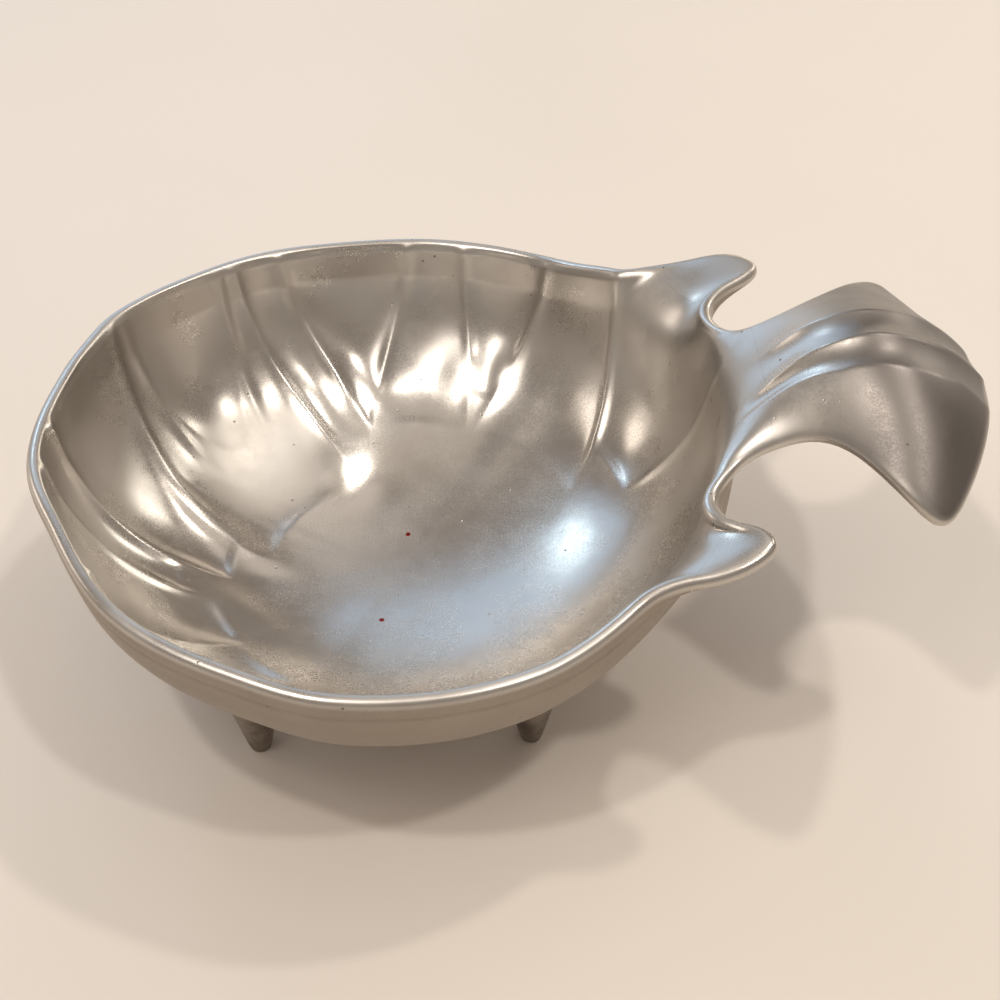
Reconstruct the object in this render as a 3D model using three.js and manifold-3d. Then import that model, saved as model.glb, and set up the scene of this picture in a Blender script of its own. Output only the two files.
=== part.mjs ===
// Footed shell dish: a round bowl with scooped flutes inside, standing on four tapered pegs.
// On one side the rim climbs and rolls outward into a curled tail, which is the handle,
// with a small fin on each side of it.
// Millimetres, +Z up. While the pieces are shaped the bowl's axis is the Z axis, the rim plane
// is z = 0 and the tail points along +X. The finished dish is then set on the table at z = 0,
// with the origin under the middle of its plan.

import * as THREE from "three";
import { mergeVertices } from "three/addons/utils/BufferGeometryUtils.js";
import Module from "manifold-3d";

// Bowl
const bowlRadius = 81.6; // axis to the outside of the rim
const bowlDepth = 48.8; // rim plane to the outside of the bottom
const wall = 4.2; // thickness of the bowl, the tail and the fins
const wallFullness = 0.93; // 1 is an ellipse, less is a fuller bowl
const standHeight = 59; // rim plane above the table

// The rim climbs above the rim plane beside the tail and a little at the opposite end
const tailLift = 8.5;
const tailLiftStart = 66; // degrees from the tail
const tailLiftEnd = 34;
const noseLift = 4.5;
const noseSpread = 90;
const liftFade = 6; // how soon the climb dies out below the rim

// The rim is a little out of round: degrees round the bowl, reach beyond bowlRadius
const RIM_WAVE = [
  [44, 0.3],
  [53, -0.5],
  [63, 1.0],
  [80, 0.4],
  [100, -0.4],
  [119, 0.8],
  [131, 0.4],
  [150, 1.5],
  [160, -0.4],
  [171, -1.4],
  [190, -0.7],
  [208, -3.3],
  [230, -1.7],
  [248, -2.3],
  [266, -0.4],
  [290, 0.1],
  [314, 0.3],
];

// Flutes scooped out of the inside. At the rim a flute runs from one ridge to the next, in
// degrees; on its way down the two ridges swing by their own turns. It ends at reach, a share
// of the way from the rim to the axis, and is depth millimetres deep at its deepest.
const FLUTES = [
  { from: 8, to: 45, fromTurn: 4, toTurn: -14, reach: 0.26, depth: 1.5 },
  { from: 45, to: 60, fromTurn: -22, toTurn: 6, reach: 0.4, depth: 0.8 },
  { from: 60, to: 78, fromTurn: 5, toTurn: -7, reach: 0.28, depth: 1.4 },
  { from: 78, to: 88, fromTurn: -9, toTurn: 13, reach: 0.4, depth: 0.8 },
  { from: 88, to: 115, fromTurn: 13, toTurn: -11, reach: 0.36, depth: 1.8 },
  { from: 115, to: 124, fromTurn: -14, toTurn: -8, reach: 0.45, depth: 0.8 },
  { from: 124, to: 152, fromTurn: -12, toTurn: 30, reach: 0.62, depth: 1.6 },
  { from: 152, to: 180, fromTurn: 20, toTurn: 14, reach: 0.5, depth: 1.5 },
  { from: 180, to: 190, fromTurn: 10, toTurn: 11, reach: 0.35, depth: 0.9 },
  { from: 190, to: 217, fromTurn: 14, toTurn: 8, reach: 0.42, depth: 1.3 },
  { from: 217, to: 245, fromTurn: 8, toTurn: 3, reach: 0.38, depth: 1.1 },
  { from: 245, to: 264, fromTurn: 2, toTurn: -4, reach: 0.3, depth: 0.6 },
];
const fluteAtRim = 0.25; // share of a flute's depth that is left at the rim
const fluteFall = 0.5; // share of its reach over which it deepens
const fluteSharpness = 0.8; // less is a squarer trough with crisper ridges
const fluteBluntness = 4; // more is a blunter lower end
const fluteRunOut = 0.08; // share of the radius over which it dies out beyond the rim

// Where the fins' outlines leave the rim, in degrees from the tail
const nearJoinAngle = -45.5;
const farJoinAngle = 43.5;

// The outlines of the fins and the tail run along the middle of the round edge, half the wall
// inside what is seen. Fins, between the rim and the notch beside the tail: degrees round the
// bowl, reach beyond bowlRadius, height above tailLift
const FIN_NEAR = [
  [-40.9, 1.4, -2.7],
  [-37.7, 6.5, -1.5],
  [-34.9, 10.1, -0.2],
  [-32, 12.4, 0.8],
  [-29.7, 13.6, 1.5],
  [-28.9, 12.7, 1.5],
  [-28.9, 8.7, 1],
  [-29.3, 4.3, 0.5],
  [-28.4, -0.8, 0],
  [-24.9, -3.9, -0.4],
];
const FIN_FAR = [
  [20.2, -0.6, 0.5],
  [23.2, 0.1, 0.5],
  [26, 4.3, 0.5],
  [27.8, 10.6, 0.8],
  [28.4, 17, 1],
  [28.7, 20.8, 1.5],
  [29.5, 22.1, 1.5],
  [31.2, 21.8, 1.3],
  [33.3, 20.4, 0.8],
  [35.4, 16.6, -0.2],
  [37, 11.4, -1.5],
  [39.1, 6.3, -2.3],
];

// Cross sections of the tail from its root to its end, each as near edge, crest and far edge:
// x beyond bowlRadius, y, height above tailLift
const TAIL = [
  [[-7.9, -27, 0.9], [-2.6, 0, 2], [-3.2, 22.6, 1.8]],
  [[-5.2, -23.4, 2.3], [1.9, 0, 6.5], [-0.6, 19, 3.6]],
  [[-1.2, -21, 4.2], [6.4, 0, 13.5], [3.2, 16.8, 6.5]],
  [[4.8, -19.9, 6.8], [12.4, -1, 19.5], [8.9, 16, 10.5]],
  [[12.1, -21.5, 10.5], [19.4, -2, 23.5], [15.7, 18, 13.2]],
  [[19.4, -27, 11.9], [26.4, -2, 24.5], [21.9, 24.4, 11.4]],
  [[26.4, -36.2, 10.2], [35.4, -2, 21.5], [28.6, 33, 7.8]],
  [[31.5, -41.8, 7.4], [43.6, -1.5, 15.5], [33, 38.5, 4.3]],
  [[35.4, -44.4, 3.8], [50, -0.7, 9.1], [36.4, 43, 1.6]],
];
const tailLean = 2.8; // the near half of the tail's end stands this much above its arc

// Where the wall rolls outward into the fins and the tail: distance inside bowlRadius and
// height above tailLift
const finBend = { inside: 3, height: -0.5 };
const tailBend = { inside: 3.4, height: -2.5 };
const finBlend = 0.25; // share of a fin's outline over which the roll grows from nothing
const tailBlend = 0.3; // the same across the tail's root

const softPasses = 6; // how much the roll is rounded
const softTailRows = 3; // how far along the tail the rounding reaches
const directionPasses = 2; // how much the direction of the thickness is evened out

// Separate pieces: the tail and the fins sit on upright faces of the bowl
const seatBeyondRim = 3;
const seatGap = 0.3;
const nearFinAzimuth = -30.6;
const farFinAzimuth = 33;
const nearNotchRay = -24.5; // rays through the notches, between the tail and the fins
const farNotchRay = 23;
const finSpread = 35; // degrees round a fin's seat
const seatSpan = 200; // far enough out and up to hold the tail and the fins

// Feet: four tapered pegs on a circle under the bowl
const footCircle = 53.6;
const footSoleRadius = 2.5;
const footTopRadius = 6.9;
const footSoleRound = 0.6;
const FEET = [
  ["foot_near_left", -124],
  ["foot_near_right", -51],
  ["foot_far_left", 124],
  ["foot_far_right", 51],
];

// Fineness of the mesh
const rimColumns = 72;
const finColumns = 12;
const tailColumns = 12;
const bowlRows = 10;
const lastBowlRow = 78; // degrees up from the bottom, where the lip and the bends begin
const LIP_ROWS = [0.22, 0.44, 0.64, 0.83, 1];
const edgeSteps = 3;
const footSides = 24;

const DEG = Math.PI / 180;
const { euclideanModulo, lerp, smoothstep } = THREE.MathUtils;

const smooth = (t) => smoothstep(t, 0, 1);
const fromTail = (angle) => Math.abs(euclideanModulo(angle + 180, 360) - 180);
const angleOf = (p) => Math.atan2(p.y, p.x) / DEG;

function polar(angle, reach, height) {
  return new THREE.Vector3(reach * Math.cos(angle * DEG), reach * Math.sin(angle * DEG), height);
}

// Height of the rim above the rim plane
function rimLift(angle) {
  const climb = smooth((tailLiftStart - fromTail(angle)) / (tailLiftStart - tailLiftEnd));
  const fromNose = 180 - fromTail(angle);
  return tailLift * climb + noseLift * smooth(1 - fromNose / noseSpread);
}

// Outer reach of the rim
function rimReach(angle) {
  const a = euclideanModulo(angle, 360);
  const next = RIM_WAVE.findIndex(([at]) => at > a);
  if (next < 1) {
    return bowlRadius + RIM_WAVE[0][1];
  }
  const [fromAngle, fromWave] = RIM_WAVE[next - 1];
  const [toAngle, toWave] = RIM_WAVE[next];
  return bowlRadius + lerp(fromWave, toWave, smooth((a - fromAngle) / (toAngle - fromAngle)));
}

// Middle of the bowl's wall, phi degrees up from the bottom
function bowlPoint(angle, phi) {
  const reach = (rimReach(angle) - wall / 2) * Math.sin(phi * DEG) ** wallFullness;
  const drop = (bowlDepth - wall / 2) * Math.max(Math.cos(phi * DEG), 0) ** wallFullness;
  const lift = rimLift(angle) * Math.sin(phi * DEG) ** liftFade;
  return polar(angle, reach, lift - drop);
}

// Depth of the flutes at a place inside the bowl
function fluteDepth(p) {
  const inward = 1 - Math.hypot(p.x, p.y) / (bowlRadius - wall / 2);
  const angle = euclideanModulo(angleOf(p), 360);
  const runOut = smooth(1 + inward / fluteRunOut);
  let deepest = 0;
  for (const { from, to, fromTurn, toTurn, reach, depth } of FLUTES) {
    const along = Math.max(inward / reach, 0);
    const low = from + fromTurn * along;
    const high = to + toTurn * along;
    const across = (angle - low) / (high - low);
    if (along < 1 && across > 0 && across < 1) {
      const fall = lerp(fluteAtRim, 1, smooth(along / fluteFall));
      const end = Math.sqrt(1 - along ** fluteBluntness);
      const trough = Math.sin(Math.PI * across) ** fluteSharpness;
      deepest = Math.max(deepest, depth * fall * end * trough * runOut);
    }
  }
  return deepest;
}

const finPoint = ([angle, beyond, height]) => polar(angle, bowlRadius + beyond, tailLift + height);
const tailCorner = ([beyond, y, height]) => {
  return new THREE.Vector3(bowlRadius + beyond, y, tailLift + height);
};

// One place on the tail: across is 0 at its near edge and 1 at its far edge, along is 0 at its
// root and 1 at its end, and row is the cross section there, a parabola over its three points
function tailPoint(row, across, along) {
  const [near, crest, far] = row.map(tailCorner);
  const p = near.multiplyScalar(2 * (across - 0.5) * (across - 1));
  p.addScaledVector(crest, 4 * across * (1 - across));
  p.addScaledVector(far, 2 * across * (across - 0.5));
  p.z += tailLean * along * along * Math.sin(2 * Math.PI * across);
  return p;
}

// The rim's edge ends half the wall below and inside its outermost line
function rimEdge(angle) {
  return polar(angle, rimReach(angle) - wall / 2, rimLift(angle) - wall / 2);
}

const [nearNotch, , farNotch] = TAIL[0].map(tailCorner);
const nearFinOutline = new THREE.CatmullRomCurve3([
  rimEdge(nearJoinAngle),
  ...FIN_NEAR.map(finPoint),
  nearNotch,
]);
const farFinOutline = new THREE.CatmullRomCurve3([
  farNotch,
  ...FIN_FAR.map(finPoint),
  rimEdge(farJoinAngle),
]);

// The columns of the casting's middle surface, counter-clockwise: the rim, the near fin, the
// tail and the far fin. Each has its angle, the point where its lip ends, and how much and
// where it rolls outward on the way there.
function makeColumns() {
  const columns = [];
  const addColumn = (angle, end, roll, blend, bend, across) => {
    columns.push({ angle, end, roll: smooth(Math.min(roll, 1 - roll) / blend), bend, across });
  };
  for (let i = 0; i < rimColumns; i += 1) {
    const angle = lerp(farJoinAngle, 360 + nearJoinAngle, i / rimColumns);
    addColumn(angle, rimEdge(angle), 0, finBlend, finBend);
  }
  for (let i = 0; i < finColumns; i += 1) {
    const along = i / finColumns;
    const angle = lerp(nearJoinAngle, angleOf(nearNotch), along);
    addColumn(angle, nearFinOutline.getPointAt(along), along, finBlend, finBend);
  }
  for (let i = 0; i <= tailColumns; i += 1) {
    const across = i / tailColumns;
    const angle = lerp(angleOf(nearNotch), angleOf(farNotch), across);
    addColumn(angle, tailPoint(TAIL[0], across, 0), across, tailBlend, tailBend, across);
  }
  for (let i = 1; i < finColumns; i += 1) {
    const along = i / finColumns;
    const angle = lerp(angleOf(farNotch), farJoinAngle, along);
    addColumn(angle, farFinOutline.getPointAt(along), along, finBlend, finBend);
  }
  return columns;
}

// Rounds the corners where the wall rolls into the fins and the tail: each point there that is
// not on the outline moves towards the mean of its four neighbours
function soften(points, columns, grid, lastRow) {
  for (let pass = 0; pass < softPasses; pass += 1) {
    const moved = new Map();
    for (let i = rimColumns; i < grid.length; i += 1) {
      const [before, column, after] = [grid[i - 1], grid[i], grid[(i + 1) % grid.length]];
      const inner = Math.min(before.length, column.length, after.length, lastRow + 1) - 1;
      for (let row = bowlRows - 1; row < inner; row += 1) {
        const mean = new THREE.Vector3();
        for (const index of [column[row - 1], column[row + 1], before[row], after[row]]) {
          mean.addScaledVector(points[index], 0.25);
        }
        moved.set(column[row], mean.lerp(points[column[row]], 1 - columns[i].roll / 2));
      }
    }
    moved.forEach((p, index) => points[index].copy(p));
  }
}

// The middle surface of the casting: its points, its triangles facing into the bowl, its grid
// of point numbers by column and row, and the point numbers of its outline in order
function makeSheet() {
  const columns = makeColumns();
  const points = [bowlPoint(0, 0)];
  const triangles = [];
  const addQuad = (a, b, c, d) => triangles.push([a, b, c], [a, c, d]);

  const grid = columns.map(({ angle, end, roll, bend, across }) => {
    const column = [];
    for (let row = 1; row <= bowlRows; row += 1) {
      column.push(points.push(bowlPoint(angle, (lastBowlRow * row) / bowlRows)) - 1);
    }
    const start = points[column.at(-1)];
    const rolled = polar(angle, bowlRadius - bend.inside, tailLift + bend.height);
    const control = start.clone().lerp(end, 0.5).lerp(rolled, roll);
    const lip = new THREE.QuadraticBezierCurve3(start, control, end);
    for (const along of LIP_ROWS) {
      column.push(points.push(lip.getPoint(along)) - 1);
    }
    for (let row = 1; across !== undefined && row < TAIL.length; row += 1) {
      column.push(points.push(tailPoint(TAIL[row], across, row / (TAIL.length - 1))) - 1);
    }
    return column;
  });

  const rimRow = bowlRows + LIP_ROWS.length - 1;
  soften(points, columns, grid, rimRow + softTailRows);
  grid.forEach((column, i) => {
    const next = grid[(i + 1) % grid.length];
    triangles.push([0, column[0], next[0]]);
    for (let row = 1; row < Math.min(column.length, next.length); row += 1) {
      addQuad(column[row - 1], column[row], next[row], next[row - 1]);
    }
  });

  const firstTail = rimColumns + finColumns;
  const lastTail = firstTail + tailColumns;
  const outline = grid.slice(0, firstTail).map((column) => column[rimRow]);
  outline.push(...grid[firstTail].slice(rimRow));
  outline.push(...grid.slice(firstTail + 1, lastTail).map((column) => column.at(-1)));
  outline.push(...grid[lastTail].slice(rimRow).reverse());
  outline.push(...grid.slice(lastTail + 1).map((column) => column[rimRow]));
  return { points, triangles, grid, outline };
}

// Direction of the thickness at each point: the mean of its faces' normals, evened out over
// its neighbours so that the two sides of the wall don't cross in a tight corner
function thicknessDirections(points, triangles) {
  let directions = points.map(() => new THREE.Vector3());
  for (const corners of triangles) {
    const [a, b, c] = corners.map((index) => points[index]);
    const face = b.clone().sub(a).cross(c.clone().sub(a));
    corners.forEach((index) => directions[index].add(face));
  }
  directions.forEach((direction) => direction.normalize());
  for (let pass = 0; pass < directionPasses; pass += 1) {
    const evened = points.map(() => new THREE.Vector3());
    for (const corners of triangles) {
      const mean = new THREE.Vector3();
      corners.forEach((index) => mean.add(directions[index]));
      corners.forEach((index) => evened[index].add(mean));
    }
    directions = evened.map((direction) => direction.normalize());
  }
  return directions;
}

function toGeometry(points, triangles) {
  const geometry = new THREE.BufferGeometry();
  const coordinates = points.flatMap((p) => p.toArray());
  geometry.setAttribute("position", new THREE.Float32BufferAttribute(coordinates, 3));
  geometry.setIndex(triangles.flat());
  return geometry;
}

// The casting in one piece, with its thickness, its flutes and a round edge, and the filled-in
// outside of the bowl, which the feet are fitted under
function makeCasting() {
  const { points, triangles, grid, outline } = makeSheet();
  const normals = thicknessDirections(points, triangles);
  const half = wall / 2;
  const outward = outline.map((index, i) => {
    const before = points[outline.at(i - 1)];
    const after = points[outline[(i + 1) % outline.length]];
    return after.clone().sub(before).cross(normals[index]).normalize();
  });

  const inside = points.map((p, i) => p.clone().addScaledVector(normals[i], half - fluteDepth(p)));
  const outside = points.map((p, i) => p.clone().addScaledVector(normals[i], -half));
  const underneath = (corners) => corners.map((index) => points.length + index).reverse();
  const solid = [...inside, ...outside];
  const faces = triangles.flatMap((corners) => [corners, underneath(corners)]);

  const loops = [outline];
  for (let step = 1; step < edgeSteps; step += 1) {
    const turn = Math.PI * (0.5 - step / edgeSteps);
    loops.push(outline.map((index, i) => {
      const p = points[index].clone().addScaledVector(outward[i], half * Math.cos(turn));
      return solid.push(p.addScaledVector(normals[index], half * Math.sin(turn))) - 1;
    }));
  }
  loops.push(underneath(outline).reverse());
  for (let step = 1; step < loops.length; step += 1) {
    const [upper, lower] = [loops[step - 1], loops[step]];
    upper.forEach((index, i) => {
      const j = (i + 1) % upper.length;
      faces.push([index, lower[i], lower[j]], [index, lower[j], upper[j]]);
    });
  }

  const brim = outside[grid[0][bowlRows - 1]];
  const top = outside.push(polar(0, 0, brim.z)) - 1;
  const fillFaces = [];
  grid.forEach((column, i) => {
    const next = grid[(i + 1) % grid.length];
    fillFaces.push([0, next[0], column[0]], [top, column[bowlRows - 1], next[bowlRows - 1]]);
    for (let row = 1; row < bowlRows; row += 1) {
      fillFaces.push([column[row - 1], next[row], column[row]]);
      fillFaces.push([column[row - 1], next[row - 1], next[row]]);
    }
  });
  return { casting: toGeometry(solid, faces), fill: toGeometry(outside, fillFaces) };
}

// Everything beyond a seat face, between two rays from the axis
function beyondSeat(azimuth, fromRay, toRay, seatReach) {
  const corner = (ray, reach) => {
    const distance = reach / Math.cos((ray - azimuth) * DEG);
    return new THREE.Vector2(distance * Math.cos(ray * DEG), distance * Math.sin(ray * DEG));
  };
  const plan = new THREE.Shape([
    corner(fromRay, seatReach),
    corner(fromRay, seatSpan),
    corner(toRay, seatSpan),
    corner(toRay, seatReach),
  ]);
  const block = new THREE.ExtrudeGeometry(plan, { depth: 2 * seatSpan, bevelEnabled: false });
  return block.translate(0, 0, -seatSpan);
}

// A peg from the table up into the bowl's wall, where its top is cut to fit
function makePeg() {
  const share = (footCircle / (bowlRadius - wall / 2)) ** (2 / wallFullness);
  const seatHeight = standHeight - bowlDepth * (1 - share) ** (wallFullness / 2);
  const slope = (footTopRadius - footSoleRadius) / seatHeight;
  const pegHeight = seatHeight + 2 * footTopRadius;
  const profile = [
    new THREE.Vector2(0, 0),
    new THREE.Vector2(footSoleRadius - footSoleRound, 0),
    new THREE.Vector2(footSoleRadius, footSoleRound),
    new THREE.Vector2(footSoleRadius + slope * pegHeight, pegHeight),
    new THREE.Vector2(0, pegHeight),
  ];
  return new THREE.LatheGeometry(profile, footSides).rotateX(Math.PI / 2).translate(0, 0, -standHeight);
}

const wasm = await Module();
wasm.setup();

function toSolid(geometry) {
  const bare = geometry.clone();
  bare.deleteAttribute("normal");
  bare.deleteAttribute("uv");
  const merged = mergeVertices(bare);
  const vertProperties = merged.attributes.position.array;
  const triVerts = new Uint32Array(merged.index.array);
  return new wasm.Manifold(new wasm.Mesh({ numProp: 3, vertProperties, triVerts }));
}

function fromSolid(solid) {
  const { vertProperties, triVerts } = solid.getMesh();
  const geometry = new THREE.BufferGeometry();
  geometry.setAttribute("position", new THREE.BufferAttribute(vertProperties, 3));
  geometry.setIndex(new THREE.BufferAttribute(triVerts, 1));
  geometry.computeVertexNormals();
  return geometry;
}

const polished = { color: 0xb9aea0, roughness: 0.28, metalness: 1 };
const satin = { color: 0x6f675e, roughness: 0.5, metalness: 1 };

const dish = new THREE.Group();

function addPiece(name, solid, look) {
  const mesh = new THREE.Mesh(fromSolid(solid), new THREE.MeshStandardMaterial(look));
  mesh.name = name;
  dish.add(mesh);
}

const { casting, fill } = makeCasting();
const castingSolid = toSolid(casting);
const fillSolid = toSolid(fill.translate(0, 0, -seatGap));
const seatReach = bowlRadius + seatBeyondRim;
const ARMS = [
  ["tail_handle", 0, nearNotchRay, farNotchRay],
  ["fin_near", nearFinAzimuth, nearNotchRay - finSpread, nearNotchRay],
  ["fin_far", farFinAzimuth, farNotchRay, farNotchRay + finSpread],
];

let bowlSolid = castingSolid;
for (const [, azimuth, fromRay, toRay] of ARMS) {
  bowlSolid = bowlSolid.subtract(toSolid(beyondSeat(azimuth, fromRay, toRay, seatReach - seatGap)));
}
addPiece("bowl", bowlSolid, polished);

for (const [name, azimuth, fromRay, toRay] of ARMS) {
  const region = toSolid(beyondSeat(azimuth, fromRay, toRay, seatReach));
  addPiece(name, castingSolid.intersect(region), polished);
}

for (const [name, azimuth] of FEET) {
  const place = polar(azimuth, footCircle, 0);
  const peg = toSolid(makePeg().translate(place.x, place.y, 0));
  addPiece(name, peg.subtract(fillSolid), satin);
}

const box = new THREE.Box3().setFromObject(dish);
const centre = box.getCenter(new THREE.Vector3());
dish.position.set(-centre.x, -centre.y, -box.min.z);
dish.updateMatrixWorld(true);

export default dish;
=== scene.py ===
"""Looks of the footed shell dish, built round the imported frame. Blender 4.5, metres, +Z up.

The casting's middle surface is shaped as in the CAD source, in millimetres about the bowl's
axis with the rim plane at z = 0, then thickened, subdivided, fluted and ribbed, and cut at the
same seats into the bowl, the tail and the two fins. The flutes aren't quite the CAD source's.
"""

import math

import bmesh
import bpy
import numpy as np
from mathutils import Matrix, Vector
from mathutils.bvhtree import BVHTree


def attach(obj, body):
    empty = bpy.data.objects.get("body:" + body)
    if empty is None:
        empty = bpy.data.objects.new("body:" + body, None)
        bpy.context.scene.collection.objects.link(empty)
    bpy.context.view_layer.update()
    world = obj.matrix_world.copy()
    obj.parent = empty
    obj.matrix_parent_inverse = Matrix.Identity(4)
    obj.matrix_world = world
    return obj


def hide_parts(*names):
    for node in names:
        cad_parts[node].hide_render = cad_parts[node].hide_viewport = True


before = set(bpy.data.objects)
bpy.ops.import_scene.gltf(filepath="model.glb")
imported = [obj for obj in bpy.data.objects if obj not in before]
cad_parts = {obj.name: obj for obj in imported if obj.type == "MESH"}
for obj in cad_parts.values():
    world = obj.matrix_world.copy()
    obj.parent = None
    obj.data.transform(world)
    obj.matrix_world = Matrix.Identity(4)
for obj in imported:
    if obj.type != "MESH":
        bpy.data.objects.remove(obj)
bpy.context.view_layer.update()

# The bowl's axis and rim plane in the part's frame, in metres, from the CAD pieces
AXIS_X = -0.026558
AXIS_Y = -0.000220
RIM_PLANE = 0.059
MM = 0.001

# Sizes in millimetres and degrees, as in the CAD source
BOWL_RADIUS = 81.6
BOWL_DEPTH = 48.8
WALL = 4.2
WALL_FULLNESS = 0.93
TAIL_LIFT = 8.5
TAIL_LIFT_START = 66
TAIL_LIFT_END = 34
NOSE_LIFT = 4.5
NOSE_SPREAD = 90
LIFT_FADE = 6

# Degrees round the bowl, reach beyond the radius
RIM_WAVE = [
    (44, 0.3),
    (53, -0.5),
    (63, 1.0),
    (80, 0.4),
    (100, -0.4),
    (119, 0.8),
    (131, 0.4),
    (150, 1.5),
    (160, -0.4),
    (171, -1.4),
    (190, -0.7),
    (208, -3.3),
    (230, -1.7),
    (248, -2.3),
    (266, -0.4),
    (290, 0.1),
    (314, 0.3),
]

# From and to in degrees at the rim, their turns on the way down, reach as a share of the
# radius, depth. Against the CAD source the fifth is reshaped and the eighth is added.
FLUTES = [
    (8, 45, 4, -14, 0.26, 1.5),
    (45, 60, -22, 6, 0.40, 0.8),
    (60, 78, 5, -7, 0.28, 1.4),
    (78, 88, -9, 13, 0.40, 0.8),
    (88, 115, 12, -14, 0.40, 1.8),
    (115, 124, -14, -8, 0.45, 0.8),
    (124, 152, -12, 30, 0.62, 1.6),
    (127, 149, 4, 2, 0.38, 2.3),
    (152, 180, 20, 14, 0.50, 1.5),
    (180, 190, 10, 11, 0.35, 0.9),
    (190, 217, 14, 8, 0.42, 1.3),
    (217, 245, 8, 3, 0.38, 1.1),
    (245, 264, 2, -4, 0.30, 0.6),
]
FLUTE_AT_RIM = 0.24
FLUTE_FALL = 0.5
FLUTE_SHARPNESS = 0.8
FLUTE_BLUNTNESS = 4
FLUTE_RUN_OUT = 0.08
FLUTE_CRISPNESS = 1.2  # the polished dish's flutes are this much deeper than the solid's
RIDGE_HEIGHT = 0.4  # a soft bead along each ridge
RIDGE_WIDTH = 1.6
RIDGE_AT_RIM = 0.3
RIDGE_GROWTH = 0.06
RIDGE_FADE = 0.6

# Outlines of the fins: degrees, reach beyond the radius, height above the tail's lift
NEAR_JOIN = -45.5
FAR_JOIN = 43.5
FIN_NEAR = [
    (-40.9, 1.4, -2.7),
    (-37.7, 6.5, -1.5),
    (-34.9, 10.1, -0.2),
    (-32, 12.4, 0.8),
    (-29.7, 13.6, 1.5),
    (-28.9, 12.7, 1.5),
    (-28.9, 8.7, 1),
    (-29.3, 4.3, 0.5),
    (-28.4, -0.8, 0),
    (-24.9, -3.9, -0.4),
]
FIN_FAR = [
    (20.2, -0.6, 0.5),
    (23.2, 0.1, 0.5),
    (26, 4.3, 0.5),
    (27.8, 10.6, 0.8),
    (28.4, 17, 1),
    (28.7, 20.8, 1.5),
    (29.5, 22.1, 1.5),
    (31.2, 21.8, 1.3),
    (33.3, 20.4, 0.8),
    (35.4, 16.6, -0.2),
    (37, 11.4, -1.5),
    (39.1, 6.3, -2.3),
]

# Cross sections of the tail: near edge, crest and far edge
TAIL = [
    ((-7.9, -27, 0.9), (-2.6, 0, 2), (-3.2, 22.6, 1.8)),
    ((-5.2, -23.4, 2.3), (1.9, 0, 6.5), (-0.6, 19, 3.6)),
    ((-1.2, -21, 4.2), (6.4, 0, 13.5), (3.2, 16.8, 6.5)),
    ((4.8, -19.9, 6.8), (12.4, -1, 19.5), (8.9, 16, 10.5)),
    ((12.1, -21.5, 10.5), (19.4, -2, 23.5), (15.7, 18, 13.2)),
    ((19.4, -27, 11.9), (26.4, -2, 24.5), (21.9, 24.4, 11.4)),
    ((26.4, -36.2, 10.2), (35.4, -2, 21.5), (28.6, 33, 7.8)),
    ((31.5, -41.8, 7.4), (43.6, -1.5, 15.5), (33, 38.5, 4.3)),
    ((35.4, -44.4, 3.8), (50, -0.7, 9.1), (36.4, 43, 1.6)),
]
TAIL_LEAN = 2.8

# Bends: distance inside the radius and height above the tail's lift
FIN_BEND = (3, -0.5)
TAIL_BEND = (3.4, -2.5)
FIN_BLEND = 0.25
TAIL_BLEND = 0.3
SOFT_PASSES = 6
SOFT_TAIL_ROWS = 3
DIRECTION_PASSES = 2

RIM_COLUMNS = 72
FIN_COLUMNS = 12
TAIL_COLUMNS = 12
BOWL_ROWS = 10
LAST_BOWL_ROW = 78
LIP_ROWS = (0.22, 0.44, 0.64, 0.83, 1)
EDGE_STEPS = 3
EDGE_BULGE = 1.16  # makes up for what subdividing takes off the round edge
SUBDIVISIONS = 3

# Seats
SEAT_CUT = BOWL_RADIUS + 2.85  # the middle of the gap that the CAD pieces leave
SEAT_GAP = 0.02
NEAR_FIN_AZIMUTH = -30.6
FAR_FIN_AZIMUTH = 33
NEAR_NOTCH_RAY = -24.5
FAR_NOTCH_RAY = 23
FIN_SPREAD = 35
SEAT_SPAN = 200

# Feet
FOOT_CIRCLE = 53.6
FOOT_SOLE_RADIUS = 2.5
FOOT_TOP_RADIUS = 6.9
FOOT_SOLE_ROUND = 0.6
FOOT_FLARE = 0.7
FOOT_FLARE_FADE = 0.9
FOOT_SIDES = 64
FOOT_SOLE_STEPS = 6
FOOT_ROWS = 24
FOOT_ROW_CROWDING = 1.6
FOOT_TOP_TRIES = 12
FOOT_TOP_SHARES = (0.75, 0.5, 0.25)
FOOT_RAY_START = -0.01  # in metres, as is the gap
FOOT_GAP = 0.00002
FEET = [
    ("foot_near_left", -124),
    ("foot_near_right", -51),
    ("foot_far_left", 124),
    ("foot_far_right", 51),
]

RIM_ROW = BOWL_ROWS + len(LIP_ROWS) - 1

# The tail's three ribs, each as places along and across the tail, and how deep the channels
# between them and up to the far edge are
TAIL_RIBS = [
    [(0.3, 0.20), (0.63, 0.21), (0.84, 0.28), (1.0, 0.33)],
    [(0.3, 0.31), (0.58, 0.35), (0.83, 0.41), (1.0, 0.46)],
    [(0.2, 0.57), (0.5, 0.57), (0.8, 0.56), (1.0, 0.60)],
]
TAIL_CHANNEL_EDGE = 0.97
TAIL_CHANNEL_DEPTHS = (0.9, 1.1, 0.9)
TAIL_RIB_START = 0.16
TAIL_RIB_GROWTH = 0.3

# The groove under the bead of the rim, outside, by rows of the middle surface
GROOVE_ROW = RIM_ROW - 0.9
GROOVE_WIDTH = 0.3
GROOVE_DEPTH = 0.35
GROOVE_END = 0.5  # the roll of the rim at which it has faded

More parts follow.
